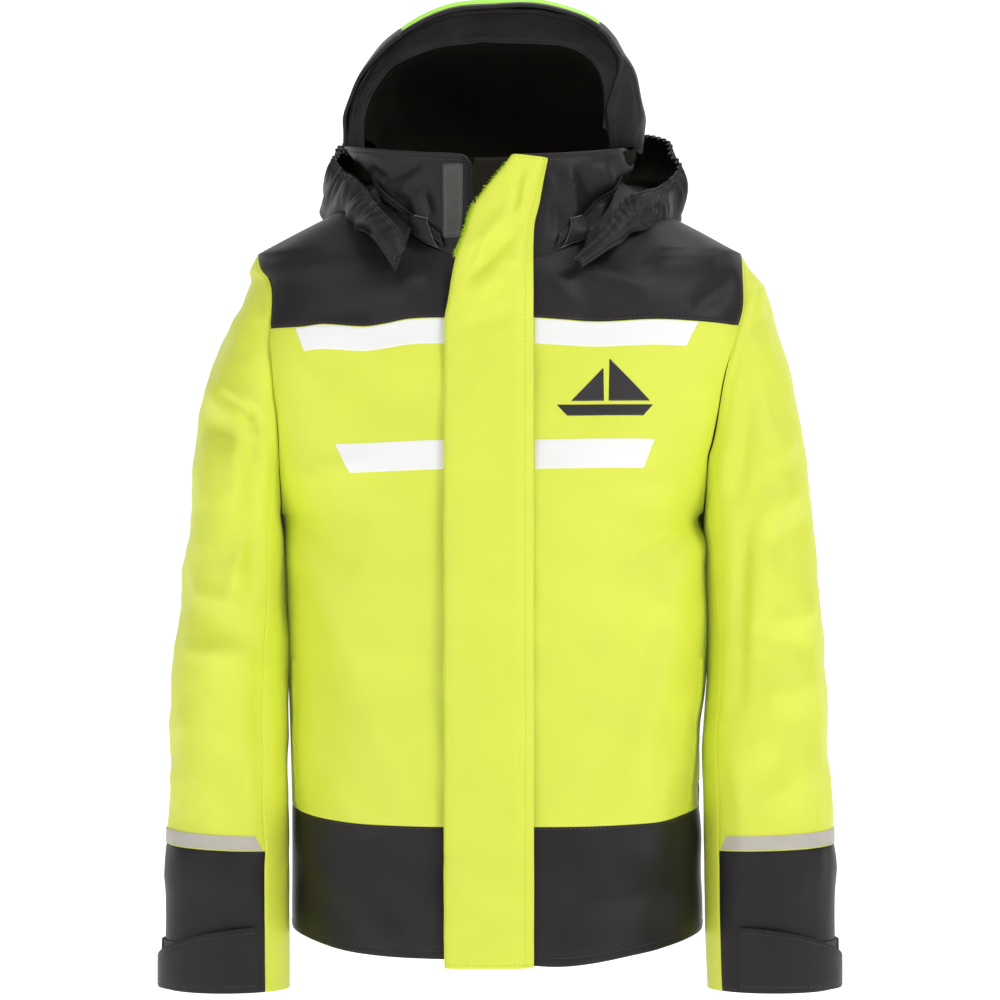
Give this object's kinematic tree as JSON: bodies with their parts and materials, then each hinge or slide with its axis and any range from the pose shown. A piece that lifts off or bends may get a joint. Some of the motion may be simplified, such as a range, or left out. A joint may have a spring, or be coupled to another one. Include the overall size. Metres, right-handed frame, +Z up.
{
  "type": "foul weather jacket",
  "caption": "Junior hooded foul weather sailing jacket in hi-vis yellow and charcoal, with a storm flap over the zip, folding hood, hinged sleeves and strap cuffs",
  "frame": {"origin": "the middle of the neck opening, at the foot of the collar, where a hanger holds the jacket", "axes": "+Z up, -Y to the front, +X to the wearer's left"},
  "size_m": [0.539, 0.2535, 0.7812],
  "materials": {
    "yellow": "coated twill, hi-vis yellow, satin",
    "lime": "coated twill, hi-vis lime, satin",
    "charcoal": "coated twill, charcoal, satin",
    "fleece": "brushed fleece, brown-black, matt",
    "mesh": "thin woven lining, dark grey, matt",
    "film": "bonded film, white, smooth",
    "tape": "retroreflective tape, silver grey",
    "loop": "hook and loop tape, dark grey",
    "loop_lime": "loop pile, lime",
    "webbing": "narrow webbing, charcoal",
    "teeth": "moulded acetal, black",
    "zipmetal": "die-cast, black paint"
  },
  "bodies": {
    "torso": {"back_panel": "yellow", "chest_emblem": "film", "chest_stripes": "film", "collar_left": "charcoal", "collar_lining": "fleece", "collar_loop_strip": "loop", "collar_right": "charcoal", "flap_loop_patches": "loop", "front_panel_left": "yellow", "front_panel_right": "yellow", "hanger_loop": "webbing", "hem_panel_back": "charcoal", "hem_panel_left": "charcoal", "hem_panel_right": "charcoal", "keeper_loops": "webbing", "lining_back": "fleece", "lining_front_left": "fleece", "lining_front_right": "fleece", "pocket_bags": "mesh", "pocket_welts": "charcoal", "stow_flap": "charcoal", "stow_straps": "webbing", "yoke_back": "charcoal", "yoke_left": "charcoal", "yoke_right": "charcoal", "zip_guard": "mesh", "zip_stops": "teeth", "zip_tapes": "webbing", "zip_teeth_left": "teeth", "zip_teeth_right": "teeth"},
    "sleeve_left": {"sleeve_upper_left": "yellow", "sleeve_underarm_left": "yellow", "sleeve_lining_left": "mesh"},
    "forearm_left": {"forearm_left": "yellow", "forearm_under_left": "yellow", "cuff_panel_left": "charcoal", "reflective_band_left": "tape", "cuff_loop_tape_left": "loop"},
    "cuff_tab_left": {"cuff_tab_left": "charcoal", "cuff_tab_hook_left": "loop"},
    "sleeve_right": {"sleeve_upper_right": "yellow", "sleeve_underarm_right": "yellow", "sleeve_lining_right": "mesh"},
    "forearm_right": {"forearm_right": "yellow", "forearm_under_right": "yellow", "cuff_panel_right": "charcoal", "reflective_band_right": "tape", "cuff_loop_tape_right": "loop"},
    "cuff_tab_right": {"cuff_tab_right": "charcoal", "cuff_tab_hook_right": "loop"},
    "storm_flap": {"storm_flap": "yellow", "flap_hook_patches": "loop_lime"},
    "zip_slider": {"zip_slider": "zipmetal", "zip_puller": "zipmetal"},
    "hood": {"hood_side_left": "charcoal", "hood_side_right": "charcoal", "hood_centre": "lime", "hood_facing": "charcoal", "hood_lining": "fleece"}
  },
  "joints": [
    {"name": "zip_slide", "type": "slide", "parent": "torso", "child": "zip_slider", "axis": [0, 0.0584, 0.9983], "range_m": [-0.58, 0]},
    {"name": "storm_flap_hinge", "type": "hinge", "parent": "torso", "child": "storm_flap", "pos_m": [0.026, -0.121, -0.6], "axis": [0, 0.0584, 0.9983], "range_deg": [0, 120]},
    {"name": "hood_fold", "type": "hinge", "parent": "torso", "child": "hood", "pos_m": [0, 0.11, 0.064], "axis": [-1, 0, 0], "range_deg": [0, 100]},
    {"name": "shoulder_left", "type": "hinge", "parent": "torso", "child": "sleeve_left", "pos_m": [0.196, 0, -0.052], "axis": [0, -1, 0], "range_deg": [0, 60]},
    {"name": "elbow_left", "type": "hinge", "parent": "sleeve_left", "child": "forearm_left", "pos_m": [0.218, -0.0765, -0.367], "axis": [-1, 0, 0], "range_deg": [0, 75]},
    {"name": "cuff_tab_left", "type": "hinge", "parent": "forearm_left", "child": "cuff_tab_left", "pos_m": [0.19, -0.084, -0.61], "axis": [0, 0, -1], "range_deg": [0, 80]},
    {"name": "shoulder_right", "type": "hinge", "parent": "torso", "child": "sleeve_right", "pos_m": [-0.196, 0, -0.052], "axis": [0, 1, 0], "range_deg": [0, 60]},
    {"name": "elbow_right", "type": "hinge", "parent": "sleeve_right", "child": "forearm_right", "pos_m": [-0.218, -0.0765, -0.367], "axis": [-1, 0, 0], "range_deg": [0, 75]},
    {"name": "cuff_tab_right", "type": "hinge", "parent": "forearm_right", "child": "cuff_tab_right", "pos_m": [-0.19, -0.084, -0.61], "axis": [0, 0, 1], "range_deg": [0, 80]}
  ]
}
